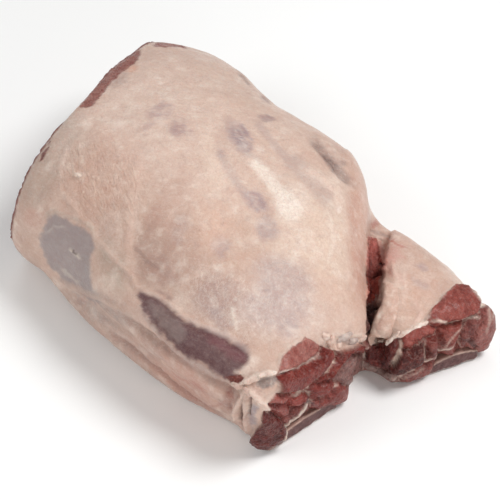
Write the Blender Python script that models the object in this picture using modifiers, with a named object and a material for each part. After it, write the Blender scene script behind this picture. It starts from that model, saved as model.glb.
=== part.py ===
# Leg of lamb, boned and folded, raw: one thick mass and a lower lobe beside it, joined at the
# sawn front end. +X points out of the sawn front, +Y to the lower lobe, +Z up.
import math

import bmesh
import bpy
from mathutils import Matrix, Vector, noise

MM = 0.001

# Each row is one section across the leg: its place along X, near side, far side and height (mm),
# and how much its top climbs for each mm towards the far side.
MAIN_SECTIONS = (
    (170, -78, 0, 56, -0.20),
    (150, -83, 8, 62, -0.20),
    (128, -88, 18, 71, -0.14),
    (100, -91, 41, 83, -0.05),
    (70, -95, 71, 91, 0),
    (40, -97, 95, 96, 0),
    (10, -98, 100, 98, 0),
    (-20, -100, 94, 99, 0),
    (-50, -104, 93, 97, 0),
    (-80, -106, 100, 93, 0),
    (-108, -102, 105, 88, 0),
    (-132, -88, 102, 83, 0),
    (-150, -68, 90, 78, 0),
    (-166, -50, 70, 68, 0),
)
LOBE_SECTIONS = (
    (182, 8, 81, 37, 0.16),
    (155, 8, 87, 44, 0.16),
    (128, 8, 90, 49, 0.16),
    (100, 8, 90, 51, 0.16),
    (65, 4, 89, 52, 0.16),
    (25, 0, 86, 49, 0.16),
    (-15, 0, 74, 45, 0.16),
)
RING_POINTS = 16
BELOW_BASE = 6          # the forms reach this far under the table and are then cut flat
WAIST = 0.40            # height of the widest place, as a share of a section's height
SIDE_POWER = 2.5        # 2 is an ellipse, and more is boxier
UNDER_POWER = 3.2

# Sawn planes: a point on each and its outward direction.
MAIN_FRONT = ((142, -60, 30), (1.0, 0.06, 0.03))
LOBE_FRONT = ((150, 24, 25), (0.97, -0.23, 0.04))
REAR = ((-118, -16, 45), (-0.905, -0.425, 0.15))

# Muscle ends that swell out of a sawn face: across the face, height, half width, half height,
# swelling, turn in the face (mm, mm, mm, mm, mm, degrees). Across is Y at the front faces.
MAIN_MUSCLES = (
    (-47, 46, 31, 10, 4, -14),
    (-8, 29, 14, 12, 4, -20),
    (-26, 26, 17, 10, 4, -24),
    (-47, 23, 13, 9, 5, -24),
    (-15, 15, 15, 9, 4, -30),
    (-70, 36, 9, 8, 3, 0),
    (-69, 23, 11, 8, 4, 0),
    (-66, 14, 8, 9, 3, 0),
)
LOBE_MUSCLES = (
    (8, 19, 11, 14, 3, -25),
    (27, 16, 15, 12, 4, -40),
    (38, 29, 16, 10, 5, -30),
    (58, 26, 11, 9, 4, -25),
    (54, 33, 17, 5, 2, -4),
    (71, 22, 7, 8, 3, -30),
    (30, 5, 22, 5, 3, -8),
)
REAR_MUSCLES = (
    (-44, 34, 24, 20, 3, 10),
    (-4, 46, 24, 17, 3, -8),
    (34, 56, 22, 15, 9, -10),
    (-12, 19, 22, 12, 3, 6),
    (32, 22, 24, 13, 4, -6),
)
MUSCLE_DEPTH = 12       # how far a muscle end reaches back into the meat

# The muscle high on the near side and the roll of fat below it, with a crease between them.
SIDE_MUSCLE = ((146, -66, 43), (104, -74, 46), (60, -79, 47), (18, -80, 46), (-20, -76, 44))
SIDE_MUSCLE_RADIUS = 22
NEAR_ROLL = ((136, -60, 10), (96, -74, 11), (60, -82, 13), (20, -86, 16), (-20, -88, 20), (-60, -87, 26))
NEAR_ROLL_RADIUS = 13
NEAR_CREASE = ((146, -99, 30), (112, -104, 30), (84, -108, 31), (52, -110, 34), (24, -112, 38))
CREASE_RADIUS = 8

# The deep slot between the mass and the lobe.
SLOT_ROUTE = (
    (135, 14, 44), (126, 21, 40), (110, 34, 41), (94, 49, 45), (80, 63, 49), (69, 76, 54), (60, 90, 60),
)
SLOT_RADIUS = 7.5
SLOT_DROPS = (0, -12)   # the slot is cut this far below its route, in two passes
NOTCH = ((143, -1, -12), (140, 4, 14), (138, 9, 40))
NOTCH_RADIUS = 12
END_FLAP = ((154, 70, 37), (159, 80, 29), (158, 82, 14))
FLAP_RADIUS = 6

# Sawn bones seated in the underside: front end x, y, width, thickness, length, turn (degrees).
MAIN_BONE = (142.6, -46, 50, 9, 86, 3.4)
LOBE_BONE = (159.4, 57, 34, 10, 78, -13.3)
BONE_LIFT = 0.8         # bones end this far above the table, so that the meat carries them
BONE_TAPER = 0.45       # share of its width that a bone loses by its inner end
BONE_THINNING = 0.25    # and of its thickness
BONE_CROWN = 0.35       # how much lower its top is at the sides than in the middle
SEAT_GAP = 0.4          # between bone and meat
SEAT_OPENING = 4        # the seats are open under the table by this much

UNEVEN = 1.6            # natural unevenness of the surface
UNEVEN_SIZE = 34
TABLE_BLOCK = (600, 500, 100)
VOXEL = 2.6
SMOOTHING = 6
TRIANGLES = 8600
MEAT_RIM = 4            # lean meat shows this far behind a sawn plane
MEAT_FACING = 0.45      # where the surface faces out of it at least this squarely

FAT_COLOUR = (0.71, 0.54, 0.46, 1)
MEAT_COLOUR = (0.24, 0.055, 0.045, 1)
BONE_COLOUR = (0.42, 0.27, 0.23, 1)


def clear_scene():
    for obj in list(bpy.data.objects):
        bpy.data.objects.remove(obj)


def collection(name):
    made = bpy.data.collections.new(name)
    bpy.context.scene.collection.children.link(made)
    return made


def material(name, colour, roughness):
    made = bpy.data.materials.new(name)
    made.use_nodes = True
    shader = made.node_tree.nodes["Principled BSDF"]
    shader.inputs["Base Color"].default_value = colour
    shader.inputs["Roughness"].default_value = roughness
    return made


def object_from(bm, name, into):
    mesh = bpy.data.meshes.new(name)
    bm.to_mesh(mesh)
    bm.free()
    made = bpy.data.objects.new(name, mesh)
    into.objects.link(made)
    return made


def primitive(add, name, into, **size):
    """One of Blender's own shapes, named and moved into a collection."""
    add(**size)
    obj = bpy.context.object
    obj.name = name
    for old in list(obj.users_collection):
        old.objects.unlink(obj)
    into.objects.link(obj)
    return obj


def apply_modifiers(obj):
    graph = bpy.context.evaluated_depsgraph_get()
    mesh = bpy.data.meshes.new_from_object(obj.evaluated_get(graph))
    obj.modifiers.clear()
    obj.data = mesh


def signed_power(value, power):
    return math.copysign(abs(value) ** power, value)


def section_point(section, angle):
    """One point of a rounded section that is flatter below its waist."""
    x, near, far, top, tilt = section
    middle, half = (near + far) / 2, (far - near) / 2
    across = signed_power(math.cos(angle), 2 / SIDE_POWER) * half
    height = top + tilt * across
    waist = WAIST * height
    if math.sin(angle) >= 0:
        z = waist + (height - waist) * signed_power(math.sin(angle), 2 / SIDE_POWER)
    else:
        z = waist + (waist + BELOW_BASE) * signed_power(math.sin(angle), 2 / UNDER_POWER)
    return Vector((x, middle + across, z)) * MM


def body(name, sections, into):
    """A soft form through the sections: a coarse cage of rings, bridged and subdivided."""
    bm = bmesh.new()
    rings = []
    for section in sections:
        ring = bmesh.ops.create_circle(bm, segments=RING_POINTS, radius=1)["verts"]
        for i, vert in enumerate(ring):
            vert.co = section_point(section, 2 * math.pi * i / RING_POINTS)
        rings.append(ring)
    for first, second in zip(rings, rings[1:]):
        edges = {e for v in first + second for e in v.link_edges if e.other_vert(v) in first + second}
        sides = [e for e in edges if (e.verts[0] in first) == (e.verts[1] in first)]
        bmesh.ops.bridge_loops(bm, edges=sides)
    for end in (rings[0], rings[-1]):
        bmesh.ops.contextual_create(bm, geom=list({e for v in end for e in v.link_edges if len(e.link_faces) == 1}))
    bmesh.ops.recalc_face_normals(bm, faces=bm.faces)
    obj = object_from(bm, name, into)
    rounding = obj.modifiers.new("rounding", "SUBSURF")
    rounding.levels = rounding.render_levels = 3
    apply_modifiers(obj)
    return obj


def saw(obj, point, direction):
    """Cuts an object off at a plane, and closes it."""
    bm = bmesh.new()
    bm.from_mesh(obj.data)
    cut = bmesh.ops.bisect_plane(
        bm, geom=bm.verts[:] + bm.edges[:] + bm.faces[:], dist=1e-6,
        plane_co=Vector(point) * MM, plane_no=Vector(direction), clear_outer=True,
    )["geom_cut"]
    bmesh.ops.contextual_create(bm, geom=[e for e in cut if isinstance(e, bmesh.types.BMEdge)])
    bmesh.ops.triangulate(bm, faces=bm.faces)
    bmesh.ops.recalc_face_normals(bm, faces=bm.faces)
    bm.to_mesh(obj.data)
    bm.free()


def muscle_end(name, plane, row, into):
    """A muscle cut across: a soft oval that swells a little out of the sawn plane."""
    across, height, half_width, half_height, swelling, turn = row
    point, direction = plane
    out = Vector(direction).normalized()
    along = Vector((-out.y, out.x, 0)).normalized() * math.copysign(1, out.x)
    up = out.cross(along) * math.copysign(1, out.x)
    centre = Vector(point) + along * ((across - point[1]) / along.y) + up * ((height - point[2]) / up.z)
    centre += out * (swelling - MUSCLE_DEPTH)
    obj = primitive(bpy.ops.mesh.primitive_uv_sphere_add, name, into, segments=28, ring_count=18, radius=MM)
    frame = Matrix((out, along, up)).transposed().to_4x4()
    roll = Matrix.Rotation(math.radians(turn), 4, "X")
    shown = math.sqrt(1 - (1 - swelling / MUSCLE_DEPTH) ** 2)
    size = Matrix.Diagonal((MUSCLE_DEPTH, half_width / shown, half_height / shown, 1))
    obj.data.transform(Matrix.Translation(centre * MM) @ frame @ roll @ size)


def strand(name, route, radius, into):
    """A round rope of meat or fat, or of air when it is a cutter, along a smooth route."""
    curve = bpy.data.curves.new(name, "CURVE")
    curve.dimensions = "3D"
    spline = curve.splines.new("BEZIER")
    spline.bezier_points.add(len(route) - 1)
    for point, place in zip(spline.bezier_points, route):
        point.co = Vector(place) * MM
        point.handle_left_type = point.handle_right_type = "AUTO"
    curve.bevel_depth = radius * MM
    curve.bevel_resolution = 4
    curve.resolution_u = 6
    curve.use_fill_caps = True
    drawn = bpy.data.objects.new(name + "_curve", curve)
    into.objects.link(drawn)
    bpy.context.view_layer.update()
    mesh = bpy.data.meshes.new_from_object(drawn.evaluated_get(bpy.context.evaluated_depsgraph_get()))
    bpy.data.objects.remove(drawn)
    bm = bmesh.new()
    bm.from_mesh(mesh)
    bmesh.ops.remove_doubles(bm, verts=bm.verts, dist=1e-6)
    bmesh.ops.recalc_face_normals(bm, faces=bm.faces)
    return object_from(bm, name, into)


def bone(name, row, into, grow=0.0, below=0.0):
    """A flat sawn bone, thicker at its middle and narrower away from the saw cut, or its seat."""
    front, y, width, thickness, length, turn = row
    obj = primitive(bpy.ops.mesh.primitive_cube_add, name, into, size=1)
    bm = bmesh.new()
    bm.from_mesh(obj.data)
    bmesh.ops.subdivide_edges(bm, edges=bm.edges, cuts=5, use_grid_fill=True)
    for vert in bm.verts:
        along, across, up = vert.co.x + 0.5, vert.co.y * 2, vert.co.z + 0.5
        narrow = 1 - BONE_TAPER * (1 - along) ** 2
        crown = (1 - BONE_CROWN * across * across) * (1 - BONE_THINNING * (1 - along))
        vert.co = Vector((
            -length * (1 - along) + grow * (2 * along - 1),
            across * (width / 2 * narrow + grow),
            BONE_LIFT - below + up * (thickness * crown + grow + below),
        ))
    bmesh.ops.transform(bm, matrix=Matrix.Rotation(math.radians(turn), 4, "Z"), verts=bm.verts)
    bmesh.ops.transform(bm, matrix=Matrix.Translation((front, y, 0)), verts=bm.verts)
    bmesh.ops.scale(bm, vec=(MM, MM, MM), verts=bm.verts)
    bm.to_mesh(obj.data)
    bm.free()
    return obj


def join(kind, obj, others):
    """One Boolean with a whole collection, applied, after which its objects go."""
    boolean = obj.modifiers.new(kind, "BOOLEAN")
    boolean.operation = kind
    boolean.operand_type = "COLLECTION"
    boolean.collection = others
    boolean.solver = "MANIFOLD"
    apply_modifiers(obj)
    for other in list(others.objects):
        bpy.data.objects.remove(other)


def soften(obj):
    """Fuses the forms into one skin, lets it run over the seams, and makes it uneven."""
    remesh = obj.modifiers.new("fuse", "REMESH")
    remesh.mode = "VOXEL"
    remesh.voxel_size = VOXEL * MM
    smooth = obj.modifiers.new("soften", "SMOOTH")
    smooth.factor = 0.5
    smooth.iterations = SMOOTHING
    apply_modifiers(obj)
    for vert, normal in [(v, v.normal.copy()) for v in obj.data.vertices]:
        drift = noise.noise(vert.co / (UNEVEN_SIZE * MM))
        vert.co += normal * drift * UNEVEN * MM


def thin_out(obj):
    obj.data.calc_loop_triangles()
    thinner = obj.modifiers.new("thin out", "DECIMATE")
    thinner.ratio = TRIANGLES / len(obj.data.loop_triangles)
    apply_modifiers(obj)


def base_cutter(into):
    """A block whose top is the table, larger than the leg."""
    obj = primitive(bpy.ops.mesh.primitive_cube_add, "table", into, size=1)
    width, depth, height = TABLE_BLOCK
    size = Matrix.Diagonal((width * MM, depth * MM, height * MM, 1))
    obj.data.transform(Matrix.Translation((0, 0, -height / 2 * MM)) @ size)


def colour_sawn_faces(obj):
    """Lean meat shows where the leg is sawn: front and rear."""
    for polygon in obj.data.polygons:
        at = polygon.center / MM
        for point, direction in (MAIN_FRONT, LOBE_FRONT, REAR):
            out = Vector(direction).normalized()
            if (at - Vector(point)).dot(out) > -MEAT_RIM and polygon.normal.dot(out) > MEAT_FACING:
                polygon.material_index = 1


def centre_on_base(objects):
    """Puts the origin under the middle of the whole leg, on the table."""
    corners = [v.co for obj in objects for v in obj.data.vertices]
    low = Vector([min(c[i] for c in corners) for i in range(3)])
    high = Vector([max(c[i] for c in corners) for i in range(3)])
    shift = Vector((-(low.x + high.x) / 2, -(low.y + high.y) / 2, -low.z))
    for obj in objects:
        obj.data.transform(Matrix.Translation(shift))
    print("origin shift, mm:", [round(s / MM, 2) for s in shift])


def main():
    clear_scene()
    joint = collection("leg_of_lamb")
    forms = collection("forms")
    cutters = collection("cutters")

    leg = body("leg", MAIN_SECTIONS, joint)
    saw(leg, *MAIN_FRONT)
    saw(leg, *REAR)
    lobe = body("lobe", LOBE_SECTIONS, forms)
    saw(lobe, *LOBE_FRONT)
    for plane, rows, name in (
        (MAIN_FRONT, MAIN_MUSCLES, "main_muscle"),
        (LOBE_FRONT, LOBE_MUSCLES, "lobe_muscle"),
        (REAR, REAR_MUSCLES, "rear_muscle"),
    ):
        for number, row in enumerate(rows):
            muscle_end(f"{name}_{number}", plane, row, forms)
    strand("near_roll", NEAR_ROLL, NEAR_ROLL_RADIUS, forms)
    strand("side_muscle", SIDE_MUSCLE, SIDE_MUSCLE_RADIUS, forms)
    strand("end_flap", END_FLAP, FLAP_RADIUS, forms)
    join("UNION", leg, forms)

    for drop in SLOT_DROPS:
        route = [(x, y, z + drop) for x, y, z in SLOT_ROUTE]
        strand(f"slot_{-drop}", route, SLOT_RADIUS, cutters)
    strand("notch", NOTCH, NOTCH_RADIUS, cutters)
    strand("near_crease", NEAR_CREASE, CREASE_RADIUS, cutters)
    join("DIFFERENCE", leg, cutters)
    soften(leg)
    thin_out(leg)

    base_cutter(cutters)
    bone("main_seat", MAIN_BONE, cutters, SEAT_GAP, SEAT_OPENING)
    bone("lobe_seat", LOBE_BONE, cutters, SEAT_GAP, SEAT_OPENING)
    join("DIFFERENCE", leg, cutters)
    bones = [bone("main_bone", MAIN_BONE, joint), bone("lobe_bone", LOBE_BONE, joint)]

    leg.data.materials.clear()
    leg.data.materials.append(material("lamb fat", FAT_COLOUR, 0.45))
    leg.data.materials.append(material("lean meat", MEAT_COLOUR, 0.35))
    colour_sawn_faces(leg)
    sawn_bone = material("sawn bone", BONE_COLOUR, 0.55)
    for obj in bones:
        obj.data.materials.clear()
        obj.data.materials.append(sawn_bone)
    centre_on_base([leg, *bones])
    for obj in [leg, *bones]:
        obj.data.shade_smooth()
    for empty in (forms, cutters):
        bpy.data.collections.remove(empty)


main()
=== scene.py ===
import itertools
import math

import bmesh
import bpy
import numpy as np
from mathutils import Matrix, Vector
from mathutils.bvhtree import BVHTree


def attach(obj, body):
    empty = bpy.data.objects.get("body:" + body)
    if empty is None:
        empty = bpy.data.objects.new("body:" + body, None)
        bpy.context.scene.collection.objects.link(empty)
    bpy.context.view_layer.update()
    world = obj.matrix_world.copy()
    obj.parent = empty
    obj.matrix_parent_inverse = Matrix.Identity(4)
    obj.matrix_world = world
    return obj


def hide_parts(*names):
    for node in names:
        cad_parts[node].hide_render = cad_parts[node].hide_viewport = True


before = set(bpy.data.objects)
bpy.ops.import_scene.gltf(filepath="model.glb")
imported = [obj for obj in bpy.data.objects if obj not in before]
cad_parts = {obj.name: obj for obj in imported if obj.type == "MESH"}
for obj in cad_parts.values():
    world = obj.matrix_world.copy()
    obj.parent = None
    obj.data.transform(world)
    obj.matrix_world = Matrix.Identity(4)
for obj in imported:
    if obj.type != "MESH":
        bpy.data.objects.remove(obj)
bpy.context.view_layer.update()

mm = 0.001
scene = bpy.context.scene

# camera and light
view = {
    "position": (0.7820, -0.6075, 0.8802),
    "lookAt": (0.0195, 0.0099, 0.0273),
    "lens": 149.5,
    "sensor": 36.0,
    "picture": 500,         # pixels each way in the photograph
}
studio = {
    "floor": "#fafaf9",
    "world": "#ffffff", "worldStrength": 0.28,
    # each light: place, aim, size, watts
    "key": ((0.50, 0.45, 1.05), (0.0, 0.0, 0.03), 0.60, 10.4),
    "fill": ((-0.30, -1.00, 0.75), (0.0, 0.0, 0.04), 0.90, 5.2),
    "front": ((1.10, -0.45, 0.35), (0.1, 0.0, 0.04), 0.60, 3.6),
    "rear": ((-0.90, 0.55, 0.80), (0.0, 0.0, 0.05), 0.80, 2.6),
}


def rgb(hexColour):
    # sRGB hex to linear
    parts = [int(hexColour[i:i + 2], 16) / 255 for i in (1, 3, 5)]
    return tuple(p / 12.92 if p <= 0.04045 else ((p + 0.055) / 1.055) ** 2.4 for p in parts)


def lookFrom(obj, place, aim):
    obj.location = place
    obj.rotation_euler = (Vector(aim) - Vector(place)).to_track_quat("-Z", "Y").to_euler()


def makeCamera():
    lens = bpy.data.cameras.new("camera")
    lens.lens, lens.sensor_width = view["lens"], view["sensor"]
    lens.clip_start, lens.clip_end = 0.05, 20
    obj = bpy.data.objects.new("camera", lens)
    scene.collection.objects.link(obj)
    lookFrom(obj, view["position"], view["lookAt"])
    scene.camera = obj


def makeStudio():
    world = bpy.data.worlds.new("studio")
    world.use_nodes = True
    sky = world.node_tree.nodes["Background"]
    sky.inputs["Color"].default_value = (*rgb(studio["world"]), 1)
    sky.inputs["Strength"].default_value = studio["worldStrength"]
    scene.world = world
    for name in ("key", "fill", "front", "rear"):
        place, aim, size, watts = studio[name]
        lamp = bpy.data.lights.new(name, "AREA")
        lamp.shape, lamp.size, lamp.energy = "DISK", size, watts
        obj = bpy.data.objects.new(name, lamp)
        scene.collection.objects.link(obj)
        lookFrom(obj, place, aim)
    scene.view_settings.view_transform = "Standard"
    bm = bmesh.new()
    bmesh.ops.create_grid(bm, x_segments=2, y_segments=2, size=3.0)
    bmesh.ops.translate(bm, verts=bm.verts, vec=(0, 0, -0.0006))
    floor = objectFrom(bm, "floor")
    mat = bpy.data.materials.new("matt white table")
    mat.use_nodes = True
    paint = mat.node_tree.nodes["Principled BSDF"]
    paint.inputs["Base Color"].default_value = (*rgb(studio["floor"]), 1)
    paint.inputs["Roughness"].default_value = 0.8
    floor.data.materials.append(mat)


def objectFrom(bm, name):
    mesh = bpy.data.meshes.new(name)
    bm.to_mesh(mesh)
    bm.free()
    obj = bpy.data.objects.new(name, mesh)
    scene.collection.objects.link(obj)
    return obj


def applyModifiers(obj):
    mesh = bpy.data.meshes.new_from_object(obj.evaluated_get(bpy.context.evaluated_depsgraph_get()))
    old = obj.data
    obj.modifiers.clear()
    obj.data = mesh
    mesh.name = old.name
    bpy.data.meshes.remove(old)


def copyOfNode(node, name):
    bm = bmesh.new()
    bm.from_mesh(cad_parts[node].data)
    bmesh.ops.remove_doubles(bm, verts=bm.verts, dist=1e-5)
    bmesh.ops.recalc_face_normals(bm, faces=bm.faces)
    return objectFrom(bm, name)


# pictures of points, and soft steps
backward = (Vector(view["position"]) - Vector(view["lookAt"])).normalized()
rightward = Vector((0, 0, 1)).cross(backward).normalized()
upward = backward.cross(rightward)
pixelsPerUnit = view["lens"] / view["sensor"] * view["picture"]


def onPhoto(points):
    away = points - np.array(view["position"])
    depth = -(away @ np.array(backward))
    middle = view["picture"] / 2
    u = middle + pixelsPerUnit * (away @ np.array(rightward)) / depth
    v = middle - pixelsPerUnit * (away @ np.array(upward)) / depth
    return u, v


def rayThrough(u, v):
    middle = view["picture"] / 2
    ray = rightward * ((u - middle) / pixelsPerUnit) - upward * ((v - middle) / pixelsPerUnit) - backward
    return ray.normalized()


def ramp(low, high, x):
    t = np.clip((x - low) / (high - low), 0, 1)
    return t * t * (3 - 2 * t)


def lineDistance(u, v, points):
    # distance to a line of pixels, and how far along it, 0 to 1
    best = np.full(len(u), 1e9)
    along = np.zeros(len(u))
    count = len(points) - 1
    for i in range(count):
        (ax, ay), (bx, by) = points[i], points[i + 1]
        dx, dy = bx - ax, by - ay
        t = np.clip(((u - ax) * dx + (v - ay) * dy) / (dx * dx + dy * dy), 0, 1)
        gap = np.hypot(u - ax - t * dx, v - ay - t * dy)
        closer = gap < best
        best = np.where(closer, gap, best)
        along = np.where(closer, (i + t) / count, along)
    return best, along


def pixels(text):
    # "x,y x,y" in the photo, as pairs of numbers
    return [tuple(float(n) for n in pair.split(",")) for pair in text.split()]


def insideBy(u, v, outline):
    # pixels inside an outline; negative outside
    outline = pixels(outline)
    gap, _ = lineDistance(u, v, outline + outline[:1])
    inside = np.zeros(len(u), bool)
    for (ax, ay), (bx, by) in zip(outline, outline[1:] + outline[:1]):
        if ay != by:
            inside ^= ((ay > v) != (by > v)) & (u < (bx - ax) * (v - ay) / (by - ay) + ax)
    return np.where(inside, gap, -gap)


def oval(u, v, x, y, rx, ry, turn=0.0):
    # 0 in the middle of an oval and 1 on its rim; turn is in degrees, clockwise in the picture
    c, s = math.cos(math.radians(turn)), math.sin(math.radians(turn))
    a, b = (u - x) * c + (v - y) * s, -(u - x) * s + (v - y) * c
    return np.hypot(a / rx, b / ry)


def noiseAt(points, seed):
    # gradient noise for many points at once, about -1 to 1
    points = points + seed * 17.31
    cell = np.floor(points).astype(np.int64)
    part = points - cell
    blend = part ** 3 * (part * (part * 6 - 15) + 10)
    total = np.zeros(len(points))
    for corner in itertools.product((0, 1), repeat=3):
        c = cell + np.array(corner)
        mixed = (c[:, 0] * 73856093) ^ (c[:, 1] * 19349663) ^ (c[:, 2] * 83492791)
        mixed = ((mixed ^ (mixed >> 13)) * 1274126177) & 0xffffffff
        mixed ^= mixed >> 15
        slope = np.stack([((mixed >> shift) & 255) / 127.5 - 1 for shift in (0, 8, 16)], 1)
        weight = np.prod(np.where(corner, blend, 1 - blend), axis=1)
        total += weight * (slope * (part - np.array(corner))).sum(1)
    return total * 1.6


def unevenness(points, sizeMm, seed):
    scaled = points / (sizeMm * mm)
    return noiseAt(scaled, seed) + 0.4 * noiseAt(scaled * 2.1, seed + 3)


def smudge(u, v, long, wide, turn, seed):
    # noise drawn out along a direction in the picture
    c, s = math.cos(math.radians(turn)), math.sin(math.radians(turn))
    a, b = (u * c + v * s) / long, (-u * s + v * c) / wide
    flat = np.stack([a, b, np.full(len(u), 0.5)], 1)
    return noiseAt(flat, seed) + 0.5 * noiseAt(flat * 2.2, seed + 5)


# the sawn planes, as in the solids: a point on each (mm) and its outward direction
sawn = {
    "main": ((139.6, -59.6, 30), (1.0, 0.06, 0.03)),
    "lobe": ((147.6, 24.4, 25), (0.97, -0.23, 0.04)),
    "rear": ((-120.4, -15.6, 45), (-0.905, -0.425, 0.15)),
}
leg = {
    "voxel": 3.1,           # mm; halved on the seen side and halved again at the front
    "smoothing": 5,
    "grains": (26, 9, 3.5, 1.7),    # sizes of the skin's unevenness, broad to finest, mm
    "broadRelief": 0.6, "middleRelief": 0.22,       # and how high two of them stand, mm
    "seamDepth": 1.6,       # how far meat lies below the fell round it, mm
    "muscleRound": 1.7,     # how much fuller than its swell a muscle end is, away from its seams
    "rearSwell": 1.4,       # swell of the muscle ends in the rear face, mm
    "step": 0.62,           # muscle ends stand out unevenly, by up to four of these, mm
    "creasePlace": (98, 182, 60, 50, 45), "creaseHeight": 0.42,     # pixel, half sizes, turn; mm
    "rollPlace": (185, 374, 66, 20, 37), "rollHeight": 2.6,
    "redden": (0.98, 0.76, 0.74),
    "base": "#c9ab9b",
    "frontFrom": 50,        # the front begins this far along, mm
    "slotRoute": ((132.6, 14.4, 44), (123.6, 21.4, 40), (107.6, 34.4, 41), (91.6, 49.4, 45),
                  (77.6, 63.4, 49)),
    # muscle ends in the rear face: across and up (mm), half sizes, turn, tone
    "rearMuscles": (
        (-52, 40, 24, 20, 10, 0.45), (-6, 52, 24, 17, -8, 0.6), (40, 56, 22, 17, -10, 0.5),
        (-16, 22, 24, 12, 6, 0.3), (30, 22, 25, 13, -6, 0.4), (66, 34, 14, 15, 0, 0.65),
        (-58, 14, 20, 10, 0, 0.5), (8, 73, 28, 7, 0, 0.7),
    ),
}
meatTones = ("#5c2b29", "#7a3a36", "#8f4d47", "#a86a62")   # dark to pale

# the area of the two front faces and the slot in the photo, where the skin is finest
frontArea = ("226,392 240,372 262,366 274,352 292,334 306,328 340,326 362,330 362,226 400,226 404,262 "
             "392,290 394,326 412,318 424,302 446,284 478,284 500,300 500,352 470,360 440,386 398,388 "
             "362,380 342,408 320,426 274,456 246,436 226,416")
# muscle ends in the front faces: outline in photo pixels, dark and bright colours, swell (mm)
muscles = (
    # left face, from the fell down
    ("277,371 281,358 290,347 300,341 304,337 312,340 320,347 319,355 310,362 300,366 290,371",
     "#94564e", "#b5877d", 1.3),
    ("273,391 280,384 285,377 300,370 318,357 326,347 331,350 332,357 327,366 316,376 303,386 290,391 "
     "278,393", "#662a25", "#863c34", 2.4),
    ("336,350 345,347 356,342 361,346 363,353 351,352 340,363 331,376 318,384 309,384 325,371 333,360",
     "#5f221b", "#803228", 2.2),
    ("332,377 340,365 352,354 363,356 363,364 352,374 343,382 335,381", "#735550", "#98817b", 0.9),
    ("304,388 312,382 325,378 333,383 330,390 322,396 313,397 305,391", "#713530", "#8e4a43", 2.0),
    ("288,399 295,392 306,390 309,396 308,402 300,408 290,405", "#7f362e", "#a2554c", 1.7),
    ("314,404 318,398 328,391 338,383 341,388 335,398 326,408 318,408", "#743a34", "#95534c", 1.7),
    ("272,397 280,393 290,394 287,399 279,403 273,402", "#84473f", "#a8625a", 1.2),
    ("268,407 275,403 288,405 291,412 289,418 280,416 270,412", "#7a3f39", "#99564f", 1.4),
    ("256,431 264,424 270,412 280,420 283,428 277,437 268,442 260,437", "#461410", "#64221c", 1.8),
    ("287,418 291,412 300,408 309,403 305,410 296,419 288,425", "#6b3b37", "#8a544d", 0.9),
    # right face, left to right
    ("364,355 370,344 376,346 386,342 398,337 396,346 393,355 389,362 385,370 374,369 364,362",
     "#40191a", "#7a3a34", 1.0),
    ("394,366 402,353 409,349 417,346 425,347 425,355 421,361 413,366 400,371 389,372",
     "#371311", "#602b25", 2.2),
    ("403,336 413,330 427,326 434,333 427,338 413,339 417,344 409,349 403,346", "#82413a", "#a8645b", 1.6),
    ("426,338 437,337 438,344 434,352 425,360 423,360 427,347", "#5d2a25", "#82443c", 2.2),
    ("438,338 450,325 464,322 459,339 439,350", "#70362f", "#98564c", 2.2),
    ("425,320 430,314 436,307 441,300 454,288 459,291 462,295 465,291 470,296 476,304 477,312 465,317 "
     "456,319 448,321 438,321", "#7c3f38", "#a45f55", 2.2),
    ("465,323 479,314 481,321 476,329 470,334 464,340 459,339", "#5f3330", "#8b5a53", 1.5),
    ("485,307 490,302 493,307 492,321 489,329 489,336 483,342 475,346 469,343 471,335 477,329 482,321 "
     "483,314", "#7a4843", "#a36f67", 1.2),
    ("399,376 411,371 423,366 434,362 433,369 419,375 417,380 407,378", "#6b3b37", "#8c554e", 0.9),
    ("363,362 373,367 386,371 396,379 384,378 370,372", "#7a5b55", "#9d8079", 0.6),
    # bare meat on the shaded wall of the slot; the first two are painted brighter than the meat, painted
    # light that offsets the slot's shade
    ("367,236 376,239 378,244 381,250 384,256 386,264 387,270 382,276 371,280 369,270 368,255",
     "#a35c54", "#d58c82", 0.8),
    ("369,279 382,276 383,285 384,293 383,305 380,304 369,303", "#b9584a", "#e38272", 0.8),
    # the narrow dark gap at the slot's foot: painted shade
    ("368,303 376,307 375,312 374,319 372,327 369,334 367,322", "#2c1413", "#4a2322", 0.2),
)
# where bare meat covers each front face, and the slot
faceZones = (
    "262,418 266,406 271,397 279,391 277,374 281,358 290,347 300,341 304,337 312,340 320,346 333,350 "
    "345,347 356,342 362,345 366,350 366,362 358,376 352,392 344,412 324,432 298,452 270,466 248,452 "
    "255,431",
    "358,352 368,345 376,345 386,342 398,337 403,336 413,330 427,325 425,320 430,314 436,307 441,300 "
    "454,287 465,289 470,294 480,305 490,301 504,298 510,330 502,358 478,366 440,390 410,398 378,392 "
    "360,380 356,366",
    "366,236 376,239 378,244 381,250 384,256 386,264 387,270 382,276 383,285 384,293 383,304 380,308 "
    "375,312 374,319 372,327 369,335 366,330 366,300",
)
# slivers of bare meat round the rear edge and low on the near side
slivers = (
    ("80,108 89,90 99,76 111,63 124,54 142,48 138,60 126,69 113,81 102,94 91,107", "#8a4e46", "#ad7a6f"),
    ("153,43 164,39 178,41 190,48 182,48 168,46 156,47", "#935a50", "#b3837a"),
    ("39,162 44,150 51,141 48,151 42,161", "#6f3a35", "#8d5a52"),
    ("226,377 240,374 246,379 240,383 229,382", "#6f342b", "#8c4a40"),
)
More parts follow.
